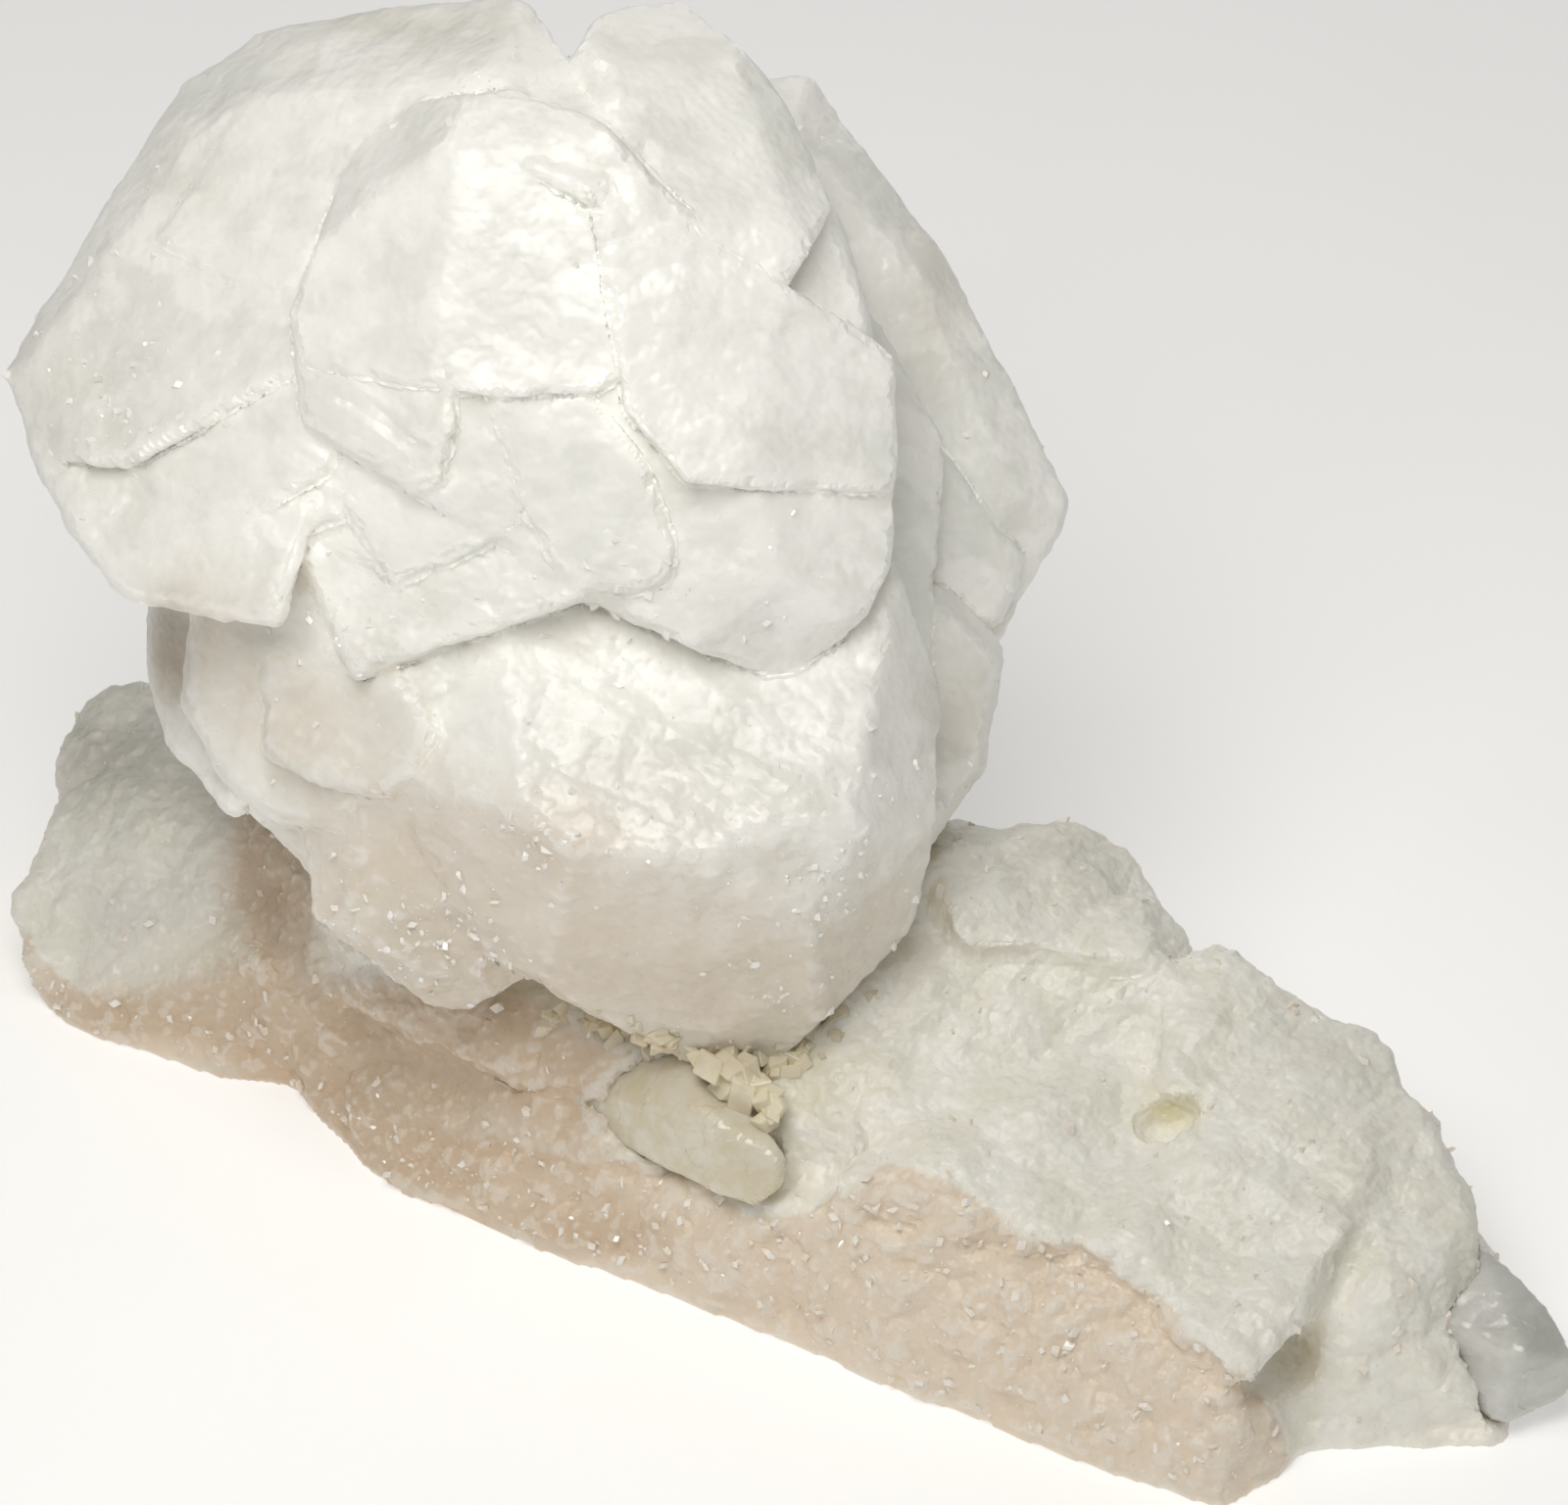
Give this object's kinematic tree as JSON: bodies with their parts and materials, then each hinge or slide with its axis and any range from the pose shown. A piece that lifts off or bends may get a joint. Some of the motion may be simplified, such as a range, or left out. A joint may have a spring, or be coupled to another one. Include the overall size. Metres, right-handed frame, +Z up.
{
  "type": "calcite cluster",
  "caption": "Cluster of flat white calcite crystals grown together into a rounded head on a broken slab of massive calcite, resting on a flat cut underside.",
  "frame": {"origin": "middle of the bottom of the bounding box, in the plane of the flat cut that the cluster rests on", "axes": "+X along the slab, from the wedge at its left to the small grey crystal at its right end; +Y to the back; +Z up"},
  "size_m": [0.115, 0.0554, 0.076],
  "materials": {
    "crystal_head": "translucent milky white calcite, vitreous on flat faces and granular where broken",
    "matrix": "massive cream calcite, hackly broken sides with fine sparkle",
    "blade_crystal": "clear to cream bladed calcite with a glassy surface",
    "end_crystal": "smooth grey translucent calcite"
  },
  "bodies": {
    "root": {"crystal_head": "crystal_head", "matrix": "matrix", "blade_crystal": "blade_crystal", "end_crystal": "end_crystal"}
  },
  "joints": []
}
